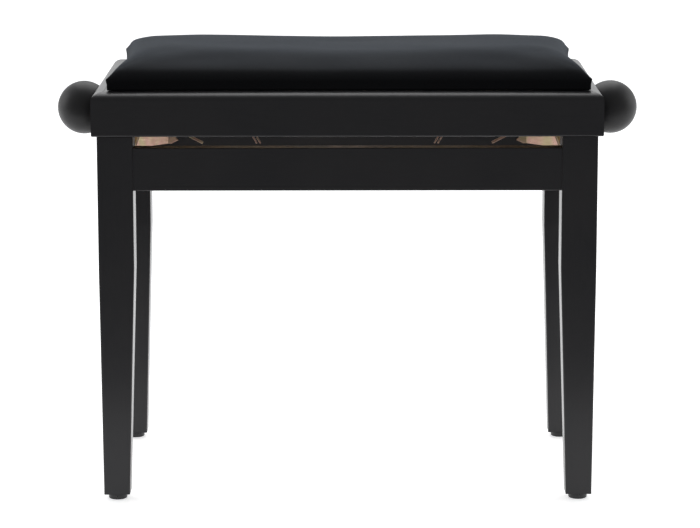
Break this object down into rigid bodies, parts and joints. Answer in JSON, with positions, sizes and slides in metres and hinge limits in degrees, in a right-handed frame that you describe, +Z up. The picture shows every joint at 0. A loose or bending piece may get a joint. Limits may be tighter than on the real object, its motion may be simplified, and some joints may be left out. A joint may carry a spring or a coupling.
{
  "type": "piano bench",
  "caption": "Height-adjustable piano bench: padded velvet seat on a wooden frame, tapered legs, and a scissor lift turned by a ball knob at each end.",
  "frame": {"origin": "on the floor, under the middle of the bench", "axes": "+X to the right along the long side and the spindle, +Y to the back, +Z up"},
  "size_m": [0.657, 0.33, 0.497],
  "materials": {
    "black_wood": "satin black lacquer",
    "block_wood": "bare sawn softwood",
    "bush_plastic": "moulded black plastic",
    "fastener_steel": "yellow zinc plate",
    "foam": "open-cell foam",
    "glide_plastic": "moulded black plastic",
    "knob_wood": "satin black lacquer",
    "plywood": "bare plywood",
    "spindle_steel": "rolled thread, lightly oiled",
    "velvet": "black cut-pile velvet",
    "zinc_steel": "yellow zinc plate"
  },
  "bodies": {
    "base": {"apron_front": "black_wood", "apron_left": "black_wood", "apron_rear": "black_wood", "apron_right": "black_wood", "base_bracket_front_left": "zinc_steel", "base_bracket_front_right": "zinc_steel", "base_bracket_rear_left": "zinc_steel", "base_bracket_rear_right": "zinc_steel", "base_bracket_screws": "fastener_steel", "base_pivot_rod_left": "zinc_steel", "base_pivot_rod_right": "zinc_steel", "brace_screws": "fastener_steel", "corner_brace_front_left": "zinc_steel", "corner_brace_front_right": "zinc_steel", "corner_brace_rear_left": "zinc_steel", "corner_brace_rear_right": "zinc_steel", "glides": "glide_plastic", "leg_bolt_nuts": "fastener_steel", "leg_bolt_washers": "fastener_steel", "leg_bolts": "fastener_steel", "leg_front_left": "black_wood", "leg_front_right": "black_wood", "leg_rear_left": "black_wood", "leg_rear_right": "black_wood"},
    "seat": {"bearing_bush_left": "bush_plastic", "bearing_bush_right": "bush_plastic", "cushion_board": "plywood", "cushion_cover": "velvet", "cushion_foam": "foam", "cushion_screws": "fastener_steel", "seat_bracket_front_left": "zinc_steel", "seat_bracket_front_right": "zinc_steel", "seat_bracket_rear_left": "zinc_steel", "seat_bracket_rear_right": "zinc_steel", "seat_bracket_screws": "fastener_steel", "seat_corner_blocks": "block_wood", "seat_pivot_pins": "zinc_steel", "seat_rail_front": "black_wood", "seat_rail_left": "black_wood", "seat_rail_rear": "black_wood", "seat_rail_right": "black_wood"},
    "spindle": {"collar_screws": "fastener_steel", "knob_left": "knob_wood", "knob_right": "knob_wood", "spindle": "spindle_steel", "thrust_collars": "zinc_steel"},
    "nut_left": {"nut_bar_left": "zinc_steel", "nut_clips_left": "zinc_steel"},
    "nut_right": {"nut_bar_right": "zinc_steel", "nut_clips_right": "zinc_steel"},
    "arms_left": {"arm_front_left": "zinc_steel", "arm_rear_left": "zinc_steel", "arm_rivets_left": "zinc_steel"},
    "arms_right": {"arm_front_right": "zinc_steel", "arm_rear_right": "zinc_steel", "arm_rivets_right": "zinc_steel"},
    "links_left": {"link_front_left": "zinc_steel", "link_rear_left": "zinc_steel"},
    "links_right": {"link_front_right": "zinc_steel", "link_rear_right": "zinc_steel"}
  },
  "joints": [
    {"name": "spindle_turn", "type": "hinge", "parent": "seat", "child": "spindle", "pos_m": [0, 0, 0.419], "axis": [1, 0, 0], "range_deg": [0, 6280.9]},
    {"name": "seat_lift", "type": "slide", "parent": "base", "child": "seat", "axis": [0, 0, 1], "range_m": [0, 0.09]},
    {"name": "nut_travel_left", "type": "slide", "parent": "seat", "child": "nut_left", "axis": [-1, 0, 0], "range_m": [0, 0.02617]},
    {"name": "arm_swing_left", "type": "hinge", "parent": "base", "child": "arms_left", "pos_m": [-0.239, 0, 0.402], "axis": [0, -1, 0], "range_deg": [0, 23.84]},
    {"name": "link_swing_left", "type": "hinge", "parent": "seat", "child": "links_left", "pos_m": [-0.239, 0, 0.419], "axis": [0, 1, 0], "range_deg": [0, 23.84]},
    {"name": "nut_travel_right", "type": "slide", "parent": "seat", "child": "nut_right", "axis": [1, 0, 0], "range_m": [0, 0.02617]},
    {"name": "arm_swing_right", "type": "hinge", "parent": "base", "child": "arms_right", "pos_m": [0.239, 0, 0.402], "axis": [0, 1, 0], "range_deg": [0, 23.84]},
    {"name": "link_swing_right", "type": "hinge", "parent": "seat", "child": "links_right", "pos_m": [0.239, 0, 0.419], "axis": [0, -1, 0], "range_deg": [0, 23.84]}
  ],
  "couplings": [
    {"joint": "spindle_turn", "follows": "seat_lift", "rad_per_m": 1218},
    {"joint": "nut_travel_left", "follows": "seat_lift", "ratio": 0.29079},
    {"joint": "arm_swing_left", "follows": "seat_lift", "rad_per_m": 4.6223},
    {"joint": "link_swing_left", "follows": "seat_lift", "rad_per_m": 4.6223},
    {"joint": "nut_travel_right", "follows": "seat_lift", "ratio": 0.29079},
    {"joint": "arm_swing_right", "follows": "seat_lift", "rad_per_m": 4.6223},
    {"joint": "link_swing_right", "follows": "seat_lift", "rad_per_m": 4.6223}
  ]
}
